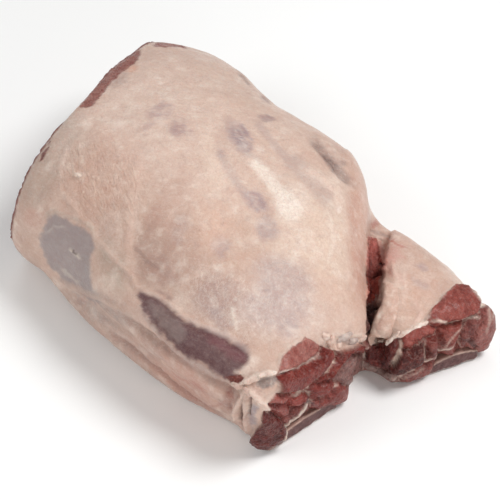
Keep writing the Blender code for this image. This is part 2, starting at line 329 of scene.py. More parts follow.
# patches on the fell: pixel, half sizes, turn, colour, strength, raggedness, streakiness (0 to 1)
fellPatches = (
    # broad tints
    (160, 110, 100, 62, -35, "#d6bcad", 0.7, 0.3, 0.0),
    (235, 140, 100, 60, 30, "#d5b9a9", 0.7, 0.3, 0.0),
    (215, 195, 50, 40, 30, "#dcc0b0", 0.7, 0.3, 0.1),
    # these three: the fat's cream with painted highlight laid over it, brightest down the right of the top
    (308, 235, 42, 66, 10, "#dac2b1", 0.9, 0.4, 0.1),
    (322, 262, 34, 70, 8, "#dac0ae", 0.7, 0.4, 0.2),
    (292, 202, 20, 20, 20, "#ead9cc", 0.7, 0.6, 0.4),
    (320, 300, 50, 36, 20, "#d1b09e", 0.75, 0.4, 0.2),
    (360, 246, 13, 82, -3, "#bf9281", 0.85, 0.3, 0.1),
    (286, 128, 38, 14, 32, "#d3b7a8", 0.6, 0.4, 0.1),
    (270, 300, 80, 40, 25, "#cdb6ab", 0.75, 0.4, 0.2),
    (215, 250, 52, 52, 20, "#cba996", 0.7, 0.4, 0.2),
    (154, 250, 26, 46, 8, "#a58678", 0.85, 0.35, 0.15),
    (190, 262, 30, 40, 25, "#b29487", 0.6, 0.5, 0.3),
    (172, 205, 22, 40, 12, "#c09f90", 0.65, 0.5, 0.2),
    (92, 176, 46, 54, 42, "#cfab99", 0.8, 0.4, 0.1),
    (62, 150, 26, 40, 35, "#cbb2a3", 0.7, 0.4, 0.1),
    # the greyer fell on the left side: its own grey, darkened by painted shade
    (38, 175, 24, 40, 14, "#b6a092", 0.85, 0.3, 0.1),
    (66, 132, 14, 26, 35, "#bcaa9e", 0.6, 0.4, 0.1),
    (112, 264, 15, 30, -14, "#b4a091", 0.75, 0.3, 0.2),
    (128, 232, 14, 34, 28, "#c9aa99", 0.6, 0.4, 0.3),
    (35, 218, 13, 12, 0, "#c9a394", 0.8, 0.5, 0.1),
    (28, 250, 9, 34, -14, "#bfa090", 0.8, 0.4, 0.2),
    (22, 262, 4, 24, -18, "#bf8e81", 0.7, 0.7, 0.2),
    # grey band low on the near side: painted shade over the fell's grey tone
    (100, 308, 44, 15, 36, "#9f8d86", 0.9, 0.4, 0.3),
    (72, 304, 34, 8, 42, "#ae9488", 0.7, 0.5, 0.5),
    (134, 350, 38, 8, 38, "#a88f86", 0.8, 0.5, 0.6),
    (180, 372, 62, 23, 36, "#bd9687", 0.92, 0.3, 0.1),
    (198, 388, 30, 14, 36, "#b98c7e", 0.7, 0.4, 0.1),
    (152, 352, 20, 9, 38, "#b3998f", 0.7, 0.5, 0.3),
    # lighter strip along the fat roll's crest: painted highlight
    (176, 368, 22, 8, 34, "#c7a395", 0.6, 0.5, 0.1),
    (230, 399, 9, 14, 0, "#8e6055", 0.85, 0.6, 0.2),
    (420, 256, 34, 20, 38, "#c6a696", 0.8, 0.3, 0.1),
    (408, 300, 26, 34, 30, "#cdaa98", 0.8, 0.3, 0.1),
    (458, 276, 24, 10, 38, "#d9c2b5", 0.7, 0.4, 0.1),
    (395, 238, 24, 10, 30, "#c9a596", 0.7, 0.4, 0.2),
    # muscle showing mauve through thin fell
    (239, 138, 22, 10, 60, "#a48c8b", 0.9, 0.6, 0.4),
    (241, 140, 14, 6, 60, "#8d767a", 0.8, 0.5, 0.4),
    (222, 155, 5, 5, 0, "#b39d99", 0.7, 0.7, 0.3),
    (267, 118, 10, 3.5, 12, "#93797a", 0.85, 0.5, 0.2),
    (160, 111, 15, 8, -24, "#ab8e8a", 0.85, 0.9, 0.7),
    (180, 130, 12, 11, 38, "#aa8c88", 0.9, 0.9, 0.7),
    (150, 124, 10, 5, -20, "#b79a94", 0.6, 0.9, 0.7),
    (255, 201, 19, 9, 42, "#a38c8e", 0.9, 0.6, 0.4),
    (262, 205, 8, 5, 50, "#957e82", 0.6, 0.6, 0.4),
    (268, 229, 13, 11, 60, "#ab9592", 0.85, 0.7, 0.3),
    (221, 246, 9, 12, 20, "#9f898b", 0.85, 0.7, 0.2),
    (284, 276, 34, 22, 25, "#b8a39d", 0.85, 0.6, 0.2),
    (274, 308, 40, 24, 0, "#b5a09c", 0.85, 0.6, 0.2),
    (287, 328, 10, 12, 20, "#ad9895", 0.65, 0.7, 0.3),
    (268, 286, 11, 7, 10, "#ab9592", 0.7, 0.7, 0.3),
    (216, 296, 24, 26, 20, "#a98f88", 0.8, 0.8, 0.3),
    (222, 318, 18, 10, 30, "#9d8685", 0.6, 0.9, 0.4),
    # these two white spots are painted highlight, the second a glint on a small lump of fat
    (288, 206, 15, 12, 40, "#efe0d3", 0.85, 0.5, 0.1),
    (339, 209, 3, 4, 0, "#eddccf", 0.8, 0.2, 0.0),
    (214, 232, 17, 28, 10, "#d9b6a3", 0.6, 0.5, 0.1),
    (166, 272, 22, 16, 30, "#a58579", 0.7, 0.8, 0.5),
    (180, 228, 10, 16, 10, "#b39a92", 0.6, 0.9, 0.6),
    (421, 267, 9, 4, 20, "#ad9694", 0.75, 0.7, 0.3),
    (421, 283, 11, 6, 30, "#b29a94", 0.75, 0.7, 0.3),
    (131, 67, 8, 5, 0, "#cf9478", 0.7, 0.6, 0.2),
    (116, 78, 16, 10, -45, "#ab938a", 0.75, 0.8, 0.6),
    (333, 164, 6, 11, -38, "#957a71", 0.9, 0.5, 0.3),
    (320, 150, 5, 14, -48, "#b2988c", 0.7, 0.5, 0.3),
    # blood and veins beside the slot
    (390, 256, 11, 14, 20, "#c9958a", 0.75, 0.8, 0.2),
    (374, 224, 5, 4, 0, "#a75d52", 0.75, 0.5, 0.0),
)
# thin grey-blue fell stretched over muscle, and the purple muscle: outline, colour, veil colour, strength
thinFell = (
    ("44,226 48,216 56,213 68,220 80,226 92,234 95,246 91,258 90,272 92,290 104,302 96,304 84,294 76,289 "
     "60,279 48,266 42,250 42,238", "#958989", "#aea29d", 0.88),
    ("137,289 151,293 164,301 176,311 186,321 202,326 216,329 226,335 234,342 248,343 251,354 249,363 "
     "243,370 237,372 244,379 228,383 218,378 202,368 188,359 178,352 165,341 151,327 141,307",
     "#5b393b", "#84696a", 1.0),
    ("147,299 160,303 174,314 184,325 189,338 178,345 163,334 151,318", "#7f6a66", "#a3938c", 0.8),
    ("156,290 163,292 172,296 176,300 170,301 162,296", "#80625f", "#9c8079", 0.8),
    ("205,333 214,331 226,339 236,350 247,352 246,362 234,361 220,352 208,345", "#754a4e", "#8a6566", 0.8),
)
# how clearly silky fibres show: pixel, half sizes, turn, amount
silkenPlaces = (
    (232, 304, 62, 34, 28, 1.0),
    (292, 290, 40, 40, 20, 0.7),
    (330, 250, 26, 60, 8, 0.5),
    (230, 90, 90, 40, 30, 0.08),
    (185, 372, 66, 22, 36, 0.05),
    (60, 170, 44, 46, 30, 0.2),
)
# lines and lips: pixels, half width (px), colour, strength, height (mm)
strokes = (
    # fell
    # the crease and its dark spot: painted shade in the sunk crease
    ("312,138 322,149 334,163 342,173 354,184", 4.5, "#86706a", 0.75, -2.6),
    ("325,153 332,160 339,169", 2.2, "#6b5753", 0.7, -0.8),
    ("341,160 345,165", 2.2, "#84706a", 0.7, -0.5),
    ("139,160 134,190 130,222 129,250 133,280", 5, "#d9b6a4", 0.45, 0.4),
    ("256,121 268,136 281,152 292,162", 4, "#b39c96", 0.55, 0.0),
    ("286,156 304,172 318,188 332,205", 9, "#b9a49c", 0.6, -0.3),
    ("219,152 230,172 243,191", 5, "#b8a39c", 0.5, 0.0),
    ("205,130 211,160 220,192", 8, "#e2c9b7", 0.55, 0.3),
    # two bright cream bands: cream fat with painted highlight along their crests
    ("250,158 264,173 282,195 295,216", 6.5, "#eddfd2", 0.85, 0.4),
    ("303,167 322,178 336,190 341,207", 4.5, "#e2cabb", 0.65, 0.9),
    ("232,306 234,318 237,331", 2, "#eaddd0", 0.7, 0.3),
    ("234,128 240,138 247,150", 1.2, "#cbb8b0", 0.7, 0.2),
    ("238,126 244,136 250,147", 1.0, "#c5b2ac", 0.6, 0.2),
    ("246,194 256,204 264,212", 1.2, "#c9b7af", 0.6, 0.2),
    ("345,148 350,160 354,174", 7, "#c2a293", 0.5, 1.6),
    ("355,185 362,210 366,240", 6, "#cfa996", 0.3, 0.8),
    # dark line in the groove above the fat roll: painted shade
    ("120,312 142,332 170,350 196,366 215,380 243,397", 4, "#7f655d", 0.6, -3.4),
    ("137,289 151,293 171,304 182,316 202,326 225,334 240,340", 1.7, "#cbb1a4", 0.75, 0.9),
    ("204,328 217,331 229,337 241,345 250,353", 3.0, "#bfaba4", 0.5, 0.3),
    ("141,307 151,327 165,342 188,361 218,379 228,384", 2.0, "#b9a198", 0.7, 0.8),
    ("61,280 90,294 118,308 142,328", 2.4, "#c2a798", 0.7, 1.3),
    ("54,276 78,292 104,312 130,334", 1.6, "#b79c8f", 0.6, 0.8),
    ("100,240 118,262 132,276 137,289", 2.2, "#ceb2a3", 0.7, 1.1),
    ("44,218 54,211 70,217 88,224 96,232", 2.2, "#b9a497", 0.7, 0.8),
    ("66,148 62,160 60,178", 2.2, "#d6beb0", 0.6, 0.8),
    ("60,190 84,222 104,250", 3, "#c9a999", 0.4, 0.8),
    ("75,174 80,177 82,179", 2.4, "#e2cfbe", 0.8, 1.2),
    ("134,246 146,262 160,270", 1.6, "#8c7168", 0.5, -0.6),
    ("46,234 54,226 66,228", 1.2, "#c0b3aa", 0.5, 0.3),
    ("69,249 74,252 80,259", 1.2, "#d9cbbd", 0.8, 0.5),
    ("73,250 77,255", 0.9, "#4b3a39", 0.8, -0.6),
    ("62,268 70,276 80,284", 1.1, "#c4b8ae", 0.7, 0.3),
    ("86,222 92,228 96,240", 1.5, "#c9b5a6", 0.7, 0.6),
    # dark line in the groove below the fat roll: painted shade
    ("110,332 134,350 160,368 186,390 214,410", 2.4, "#8f6f66", 0.6, -2.0),
    ("104,320 126,338 148,352", 1.6, "#c5aca0", 0.6, 0.9),
    ("150,360 172,380 196,398 226,416", 2.4, "#a3786c", 0.45, -0.8),
    ("176,370 185,376 196,380 207,388", 1.0, "#b0695d", 0.5, 0.0),
    ("190,396 204,402 218,404 230,398", 1.1, "#9d5c50", 0.6, 0.0),
    ("226,388 232,398 231,410", 2.2, "#8c5548", 0.6, -0.8),
    ("239,74 244,78 250,86", 1.5, "#8d736a", 0.7, -0.4),
    ("261,96 266,99 270,102", 1.6, "#7c5a52", 0.8, -0.4),
    ("240,122 246,132 254,142", 1.5, "#94808a", 0.5, -0.3),
    ("384,238 392,241 400,246 407,249", 0.9, "#b05a4e", 0.6, 0.0),
    ("380,247 388,243 396,238", 0.9, "#ad5c50", 0.5, 0.0),
    ("372,234 380,250 384,270 384,290", 1.6, "#a7695d", 0.5, 0.6),
    # two pale bands down the right of the top: painted highlight over the cream fat
    ("300,226 298,246 290,268", 2.2, "#e6d7ca", 0.4, 0.3),
    ("330,216 334,240 328,262", 2.2, "#e8dacd", 0.4, 0.3),
    # the lip where the fell ends above the front faces
    ("230,385 240,386 247,381 256,376 265,374 276,372", 2.6, "#dcc6b8", 0.9, 2.2),
    ("277,371 281,357 290,346 300,340 304,336", 1.8, "#d4bcae", 0.8, 1.0),
    ("322,343 330,336 344,334 358,335 372,337", 3.0, "#d8bfb0", 0.7, 1.2),
    ("326,334 332,343 336,350", 2.2, "#d9b8a8", 0.8, 1.0),
    ("338,334 344,340 350,344", 2.4, "#9d8a84", 0.75, 0.2),
    ("362,339 368,342 370,349", 2.2, "#8f4a45", 0.8, 0.8),
    ("358,342 363,345 364,360", 1.0, "#d6c0b3", 0.8, 0.3),
    ("373,337 386,340 399,335 412,328 424,323 429,314", 2.2, "#d9c2b4", 0.75, 1.1),
    ("429,314 435,305 444,296 454,286 466,288", 1.8, "#d3bbae", 0.8, 1.0),
    ("470,293 479,303 485,306", 2.6, "#dccabd", 0.85, 1.0),
    # left face
    ("277,375 285,371 295,369 304,364 312,360 319,356", 1.2, "#dccabe", 0.85, 0.7),
    ("333,349 331,360 325,369 317,374 309,382 303,388", 1.3, "#d8c0b0", 0.9, 0.6),
    ("292,396 300,391 307,391 309,398", 0.8, "#d9c3b5", 0.75, 0.3),
    ("320,397 328,390 338,383", 0.8, "#cdb4a7", 0.75, 0.2),
    ("268,443 277,440 286,428 296,417 306,408 313,400", 1.1, "#dac9bb", 0.85, 0.7),
    ("276,392 290,392 303,387", 0.9, "#cbb0a3", 0.7, 0.2),
    ("305,397 309,402 313,405", 2.2, "#54454a", 0.7, 0.0),
    ("257,404 252,414 254,426", 3.8, "#94868a", 0.9, 0.0),
    ("246,390 240,400 236,412 238,420", 2.2, "#d3b8aa", 0.9, 3.2),
    ("247,392 245,404 246,418 250,430", 1.8, "#c6aa9d", 0.9, 2.8),
    ("249,388 256,396 264,404 268,410", 2.6, "#dcc3b5", 0.9, 2.8),
    # dark lines between the pale folds: painted shade in the hollows
    ("243,404 242,416 244,426", 1.6, "#6d524d", 0.85, -2.0),
    ("251,396 250,408 248,416", 1.4, "#725a56", 0.8, -2.0),
    ("234,418 242,427 249,433", 2.0, "#b08f83", 0.7, 1.0),
    # right face
    ("391,378 402,373 413,368 421,361 434,355 444,346 458,340", 1.0, "#cbb3a6", 0.85, 0.7),
    ("388,382 402,376 415,371 424,365", 0.8, "#bb9f93", 0.6, 0.3),
    ("427,323 443,321 446,324 456,320 465,318 479,315", 1.0, "#d9c4b6", 0.85, 0.5),
    ("400,338 401,347 397,355 391,364", 1.5, "#cdb3a3", 0.9, 0.6),
    ("426,338 424,348 420,358", 0.8, "#c7aa9d", 0.7, 0.1),
    ("438,338 438,348 430,357", 0.8, "#bf9f93", 0.6, 0.1),
    ("441,346 448,338 455,331 462,324", 0.8, "#c7aa9d", 0.6, 0.1),
    ("464,340 472,342 476,346", 2.4, "#4a2a29", 0.8, -1.6),
    ("486,309 488,320 484,332", 1.0, "#c9aea2", 0.6, 0.5),
    ("490,308 490,320", 0.9, "#c4a79b", 0.6, 0.5),
    ("360,364 373,370 386,376 398,382", 2.4, "#a48f87", 0.6, 0.4),
    # the slot
    # dark line down the narrow gap beside the main face: painted shade
    ("368,250 369,268 369,290 369,312 368,334", 1.6, "#4a2322", 0.45, -0.7),
    ("378,240 381,247 385,256 388,266", 2.0, "#c27d71", 0.8, 0.8),
    ("372,282 377,276 384,271", 2.0, "#5a2825", 0.8, -0.5),
    ("382,264 385,266", 1.8, "#281211", 0.95, -1.6),
    ("371,304 380,304", 2.0, "#a98580", 0.75, 0.8),
    ("384,280 385,293 383,306 377,311 375,322", 1.2, "#d3b5a6", 0.8, 0.8),
    ("368,230 378,232 391,238", 1.6, "#a48d86", 0.7, -0.4),
    ("368,234 376,236 384,240", 1.2, "#c9b0a4", 0.7, 0.5),
    ("384,270 392,272 402,282", 3.0, "#cf9d8f", 0.6, 0.0),
    ("386,252 394,262 390,276", 2.4, "#c88f82", 0.6, 0.3),
    ("386,282 388,298 383,312 377,326 372,338", 2.6, "#dcc3b5", 0.6, 1.5),
    ("392,262 396,278 393,298 388,316", 2.6, "#dac0b1", 0.5, 1.1),
    ("402,270 404,290 398,312", 3.0, "#d9bfb1", 0.4, 0.9),
    ("380,296 383,302 379,308", 2.4, "#c8a698", 0.6, 1.2),
    ("412,300 420,312 414,324", 2.4, "#caa799", 0.5, 0.8),
    ("440,262 462,276 480,292", 2.0, "#e3d3c7", 0.6, 0.8),
    ("372,312 376,322 374,332", 2.6, "#8d5a52", 0.7, 0.0),
)
# a grey, wet pocket of membrane under the lip; its second, lighter grey is painted sheen
pocket = ("255,379 262,376 274,375 283,376 280,381 273,388 262,390 256,386", "#83746f", "#a1948c", -1.4)


def meshArrays(mesh):
    co = np.empty(len(mesh.vertices) * 3)
    mesh.vertices.foreach_get("co", co)
    normals = np.empty(len(mesh.vertices) * 3)
    mesh.vertices.foreach_get("normal", normals)
    return co.reshape(-1, 3), normals.reshape(-1, 3)


def setPoints(mesh, co):
    mesh.vertices.foreach_set("co", co.ravel())
    mesh.update()


def storeValue(mesh, name, values):
    mesh.attributes.new(name, "FLOAT", "POINT").data.foreach_set("value", values.astype(np.float32))


def storeColour(mesh, name, colours):
    full = np.concatenate([colours, np.ones((len(colours), 1))], 1).astype(np.float32)
    mesh.attributes.new(name, "FLOAT_COLOR", "POINT").data.foreach_set("color", full.ravel())


def layOn(colours, hexColour, amount):
    return colours + (np.array(rgb(hexColour)) - colours) * amount[:, None]


def between(dark, bright, amount):
    dark, bright = np.array(rgb(dark)), np.array(rgb(bright))
    return dark + (bright - dark) * np.clip(amount, 0, 1)[:, None]


def facingCamera(co, normals):
    toCamera = np.array(view["position"]) - co
    toCamera /= np.linalg.norm(toCamera, axis=1)[:, None]
    return (normals * toCamera).sum(1)


def planeDepth(co, plane):
    # the sawn plane's outward direction, and how far in front of it each point lies (mm)
    point, direction = sawn[plane]
    out = np.array(Vector(direction).normalized())
    return out, (co - np.array(point) * mm) @ out / mm


def refine(obj, chosen):
    # cuts every face that chosen() picks in four and rounds the new corners a little
    mesh = obj.data
    mask = chosen(*meshArrays(mesh))
    bm = bmesh.new()
    bm.from_mesh(mesh)
    bm.verts.ensure_lookup_table()
    edges = [e for e in bm.edges if mask[e.verts[0].index] and mask[e.verts[1].index]]
    result = bmesh.ops.subdivide_edges(bm, edges=edges, cuts=1, use_grid_fill=True)
    cutParts = result["geom_inner"] + result["geom_split"]
    fresh = list({v for v in cutParts if isinstance(v, bmesh.types.BMVert)})
    for _ in range(2):
        bmesh.ops.smooth_vert(bm, verts=fresh, factor=0.5, use_axis_x=True, use_axis_y=True,
                              use_axis_z=True)
    bm.to_mesh(mesh)
    bm.free()
    mesh.update()


def atFront(co, normals):
    u, v = onPhoto(co)
    toCamera = facingCamera(co, normals) > -0.05
    return toCamera & (insideBy(u, v, frontArea) > 0) & (co[:, 0] > leg["frontFrom"] * mm)


def evenSkin():
    # an even copy of the solid, finer on the seen side and finest at the front
    obj = copyOfNode("leg", "lambLeg")
    remesh = obj.modifiers.new("even skin", "REMESH")
    remesh.mode, remesh.voxel_size = "VOXEL", leg["voxel"] * mm
    smooth = obj.modifiers.new("smooth", "SMOOTH")
    smooth.factor, smooth.iterations = 0.5, leg["smoothing"]
    applyModifiers(obj)
    refine(obj, lambda co, normals: facingCamera(co, normals) > -0.12)
    refine(obj, atFront)
    return obj


def frontTurned(co, normals, zone):
    # the lower rim of the front faces, turned away from the camera but still sawn
    found = np.zeros(len(co))
    for name in ("main", "lobe"):
        out, depth = planeDepth(co, name)
        found = np.maximum(found, ramp(0.05, 0.35, normals @ out) * ramp(-11, -7, depth))
    return found * (zone > -30)


def rearMeat(co, normals, facing, wobbleA, wobbleB):
    # bare meat on the hidden sawn end: amount, tone, clearance from the seams
    out, depth = planeDepth(co, "rear")
    point = sawn["rear"][0]
    across = Vector((out[1], -out[0], 0)).normalized()
    a = (co - np.array(point) * mm) @ np.array(across) / mm + point[1]
    b = co[:, 2] / mm
    reach = np.array([oval(a + wobbleA * 2.5, b + wobbleB * 2.5, *row[:5]) for row in leg["rearMuscles"]])
    order = np.argsort(reach, axis=0)
    rows = np.arange(len(co))
    gap = (reach[order[1], rows] - reach[order[0], rows]) * 8
    tone = np.array([row[5] for row in leg["rearMuscles"]])[order[0]]
    edge = normals @ out + wobbleA * 0.10
    amount = ramp(-8, -5, depth) * ramp(0.52, 0.66, edge) * ramp(0.10, -0.05, facing)
    return amount, tone, gap


def bareMeat(co, normals, facing, front, ru, rv, middle, fine):
    # for each point: how bare it is, colour, swell (mm), clearance from the seams, unevenness of its muscle
    meat, tone, clear = rearMeat(co, normals, facing, middle, fine)
    stops = np.linspace(0, 1, len(meatTones))
    toned = [np.interp(tone + middle * 0.1, stops, [rgb(h)[i] for h in meatTones]) for i in range(3)]
    flesh = np.stack(toned, 1)
    swell = meat * leg["rearSwell"]
    depths = np.array([insideBy(ru, rv, outline) for outline, *_ in muscles])
    order = np.argsort(-depths, axis=0)
    rows = np.arange(len(co))
    seamGap = (depths[order[0], rows] - depths[order[1], rows]) / 2
    zone = np.max([insideBy(ru, rv, outline) for outline in faceZones], axis=0)
    frontMeat = np.maximum(front, frontTurned(co, normals, zone)) * ramp(-0.9, 0.9, zone)
    shine = fine * 0.5 + middle * 0.35 + 0.5
    muscleColours = np.zeros((len(co), 3))
    muscleSwell = np.zeros(len(co))
    step = np.zeros(len(co))
    for i, (outline, dark, bright, height) in enumerate(muscles):
        mine = order[0] == i
        muscleColours[mine] = between(dark, bright, shine)[mine] * np.array(leg["redden"])
        muscleSwell[mine] = height
        step[mine] = i * 7 % 5 * leg["step"]
    use = frontMeat > meat
    step = np.where(use, step, 0)
    flesh = np.where(use[:, None], muscleColours, flesh)
    swell = np.where(use, muscleSwell, swell)
    clear = np.where(use, seamGap, clear)
    meat = np.maximum(meat, frontMeat)
    for outline, dark, bright in slivers:
        amount = ramp(-0.8, 0.8, insideBy(ru, rv, outline) + middle * 1.2) * ramp(-0.05, 0.1, facing)
        flesh = flesh + (between(dark, bright, shine) - flesh) * amount[:, None]
        clear = np.where(amount > meat, 4.0, clear)
        swell = np.where(amount > meat, 0.6, swell)
        meat = np.maximum(meat, amount)
    return meat, flesh, swell, clear, step


def slotWalls(co, front, middle):
    # the channel between the two forms
    walls = np.zeros(len(co))
    for a, b in zip(leg["slotRoute"], leg["slotRoute"][1:]):
        start, run = np.array(a) * mm, (np.array(b) - np.array(a)) * mm
        t = np.clip((co - start) @ run / (run @ run), 0, 1)
        gap = co - start - t[:, None] * run
        gap[:, 2] = np.maximum(0, np.abs(gap[:, 2] + 6 * mm) - 6 * mm)
        walls = np.maximum(walls, ramp(10.5, 8.2, np.linalg.norm(gap, axis=1) / mm + middle) * (1 - front))
    return walls * ramp(70 * mm, 100 * mm, co[:, 0])


def fellColours(co, u, v, seen, broad, middle, fine):
    # colours of the fell, and where it is stretched thin
    hidden = 1 - seen
    blotch, small = unevenness(co, 15, 91), unevenness(co, 6.5, 92)
    colours = np.tile(np.array(rgb(leg["base"])), (len(co), 1))
    for colour, amount in (
            ("#b8998c", ramp(0.1, 0.9, broad) * 0.5),
            ("#d3b9aa", hidden * ramp(-0.5, 0.4, unevenness(co, 40, 9)) * 0.6),
            ("#a18883", hidden * ramp(0.15, 0.7, unevenness(co, 17, 8) + fine * 0.3) * 0.7),
            # darker towards the floor: painted shade low on the sides
            ("#ab8b80", ramp(26 * mm, 4 * mm, co[:, 2]) * 0.5),
            ("#ead8ca", ramp(0.05, 0.8, blotch) * 0.35),
            ("#b8958a", ramp(0.05, 0.8, -blotch) * 0.25)):
        colours = layOn(colours, colour, amount)
    wu = u + middle * 5 + fine * 2.0
    wv = v + unevenness(co, 10, 12) * 5 + unevenness(co, 3.7, 13) * 2.0
    for row, (x, y, rx, ry, turn, colour, strength, ragged, streaky) in enumerate(fellPatches):
        reach = oval(u + (wu - u) * ragged, v + (wv - v) * ragged, x, y, rx, ry, turn)
        amount = ramp(1.25, 0.45, reach + ragged * (middle * 0.12 + fine * 0.1))
        if streaky:
            band = smudge(wu, wv, 12, 3.0, turn if rx > ry else turn + 90, row)
            amount = amount * (1 - streaky * ramp(-0.1, 0.5, band))
        colours = layOn(colours, colour, seen * strength * amount)
    colours = layOn(colours, "#efe0d3", seen * ramp(0.15, 0.9, small + blotch * 0.5) * 0.30)
    return layOn(colours, "#b98f84", seen * ramp(0.2, 0.9, -small - blotch * 0.4) * 0.14)


def layThinFell(colours, u, v, ru, rv, seen, middle, fine):
    veil = ramp(-0.25, 0.55, smudge(u, v, 9, 2.6, 38, 51) * 0.6 + fine * 0.5)
    thin = np.zeros(len(u))
    for row, (outline, colour, veilColour, strength) in enumerate(thinFell):
        # the grey oval has a clear edge, the purple muscle a ragged one that fades
        depth = insideBy(ru, rv, outline) + fine * 1.8 + middle * (2.2 if row else 0.6)
        amount = seen * (ramp(-2.0, 5.0, depth) if row else ramp(-1.8, 2.4, depth))
        colours = layOn(colours, colour, amount * strength)
        colours = layOn(colours, veilColour, amount * strength * veil * (0.2 if row else 0.35))
        thin = np.maximum(thin, amount)
    return colours, thin


def makeLeg():
    obj = evenSkin()
    mesh = obj.data
    co, normals = meshArrays(mesh)
    print("leg skin:", len(co), "points,", sum(len(p.vertices) - 2 for p in mesh.polygons), "triangles")
    u, v = onPhoto(co)
    facing = facingCamera(co, normals)
    seen = ramp(0.0, 0.16, facing)
    broad, middle, fine, finest = (unevenness(co, size, i + 1) for i, size in enumerate(leg["grains"]))
    front = atFront(co, normals) * seen
    # ragged places: pixels pushed about by the noise
    ru = u + middle * 0.9 + fine * 0.8 + finest * 0.35
    rv = v + unevenness(co, 8, 7) * 0.9 + unevenness(co, 3.2, 8) * 0.8
    meat, flesh, swell, clear, step = bareMeat(co, normals, facing, front, ru, rv, middle, fine)
    walls = slotWalls(co, front, middle)
    lines = [lineDistance(ru, rv, pixels(line)) for line, *_ in strokes]

    # relief, mm
    rounded = ramp(0, 5, clear) * (swell * leg["muscleRound"] + leg["seamDepth"] * 0.4)
    lift = broad * leg["broadRelief"] + middle * leg["middleRelief"] * (1 - meat)
    lift += meat * step + meat * (rounded - leg["seamDepth"] + fine * 0.45 + finest * 0.2
                                  - 0.9 * ramp(1.3, 0.2, clear))
    for (gap, along), (_, halfWidth, _, _, height) in zip(lines, strokes):
        ends = ramp(0, 0.15, along) * ramp(0, 0.15, 1 - along) * 0.6 + 0.4
        lift += seen * height * np.exp(-(gap / max(halfWidth, 1.3)) ** 2) * ends
    inPocket = seen * ramp(-0.5, 2.5, insideBy(ru, rv, pocket[0]))
    lift += inPocket * pocket[3]
    wrinkles = ramp(1.15, 0.5, oval(u, v, *leg["creasePlace"]))
    lift += seen * wrinkles * smudge(u, v, 15, 2.6, -42, 21) * leg["creaseHeight"]
    roll = ramp(1.1, 0.6, oval(u, v, *leg["rollPlace"]))
    lift += seen * roll * (leg["rollHeight"] + unevenness(co, 7, 6) * 0.5)
    # the flat underside stays flat
    lift *= ramp(0, 6 * mm, co[:, 2]) * 0.9 + 0.1 * (co[:, 2] > 0.5 * mm)
    setPoints(mesh, co + normals * (lift * mm)[:, None])

    colours = fellColours(co, u, v, seen, broad, middle, fine)
    colours, thin = layThinFell(colours, u, v, ru, rv, seen, middle, fine)
    colours = layOn(colours, pocket[1], inPocket)
    # lighter grey mottling in the pocket: painted sheen on the wet membrane
    colours = layOn(colours, pocket[2], inPocket * ramp(0.1, 0.6, fine + middle * 0.4))
    colours = layOn(colours, "#58302d", walls)
    colours = layOn(colours, "#7d463f", walls * ramp(-0.1, 0.5, fine + middle * 0.5))
    colours += (flesh - colours) * meat[:, None]
    for (gap, along), (_, halfWidth, colour, strength, height) in zip(lines, strokes):
        ends = ramp(0, 0.12, along) * ramp(0, 0.12, 1 - along) * 0.7 + 0.3
        amount = seen * strength * ends * ramp(halfWidth * 1.3 + 0.5, halfWidth * 0.45, gap + finest * 0.5)
        colours = layOn(colours, colour, amount)
        meat = np.where(height > 0, meat * (1 - amount * 0.75), meat)
    silken = 0.22 + 0.18 * ramp(0.1, 0.6, broad)
    for x, y, rx, ry, turn, amount in silkenPlaces:
        silken = silken + (amount - silken) * ramp(1.2, 0.5, oval(u, v, x, y, rx, ry, turn)) * seen

    storeColour(mesh, "paint", colours)
    for name, values in (
            ("meat", np.maximum(meat, walls)), ("seam", np.where(meat > 0.05, np.clip(clear, 0, 6), 6.0)),
            ("thin", thin), ("wet", np.maximum(inPocket, thin * 0.4)), ("streak", seen * wrinkles),
            ("silken", silken * (1 - thin * 0.6))):
        storeValue(mesh, name, values)
    finishPiece(obj, lambSkin(), "leg")
    return obj


# fat of the lobe lying over the edge of the slot: pixels on the lobe, and where its edge shows
slotFold = {
    "onLobe": "397,283 400,293 400,304 398,313 396,322 393,331 388,340",
    "edge": "384,282 384.5,292 383,304 377.5,310 375,319 373,328 369,337",
    "thickness": 1.6,       # mm
    "hang": 10,             # how far it hangs into the slot, mm
    "colour": "#cba998",
}
# lumps of fat and loose fell: pixel, half sizes (mm), turn, thickness (mm), colour
fatLumps = (
    (331, 341, 4.5, 2.4, 70, 1.8, "#d9b9a9"), (326, 336, 3.6, 2.2, 20, 1.6, "#dfc6b8"),
    (345, 337, 6, 2.8, 10, 1.5, "#b5a39c"), (353, 341, 4.6, 2.6, 30, 1.5, "#a5948f"),
    (339, 345, 3, 1.8, 60, 1.4, "#d6b5a6"), (366, 344, 4.2, 2.6, 60, 2.0, "#93514a"),
    (373, 341, 5, 2.2, -10, 1.8, "#dac3b5"), (361, 339, 4, 2.2, 0, 1.6, "#d5bcae"),
    (382, 341, 5, 1.6, -15, 1.5, "#ddc8ba"), (393, 338, 6, 1.6, -20, 1.3, "#e0cdc0"),
    (405, 333, 5, 1.6, -30, 1.3, "#ddc8bb"), (420, 326, 6, 1.6, -25, 1.3, "#e3d2c6"),
    (241, 387, 4.5, 1.6, 0, 1.5, "#cdb1a3"), (253, 379, 6, 2.0, -28, 2.0, "#e0cabc"),
    (267, 374, 6, 1.6, -8, 1.7, "#e4d0c2"), (247, 391, 3.4, 1.6, 60, 1.4, "#c3a294"),
    (78, 175, 2.8, 1.3, 30, 1.6, "#e3d0c0"), (235, 384, 3.0, 1.2, 40, 1.2, "#c9ac9e"),
)


def finishPiece(obj, mat, stoodFor=None):
    obj.data.shade_smooth()
    obj.data.materials.clear()
    obj.data.materials.append(mat)
    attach(obj, "root")
    if stoodFor:
        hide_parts(stoodFor)


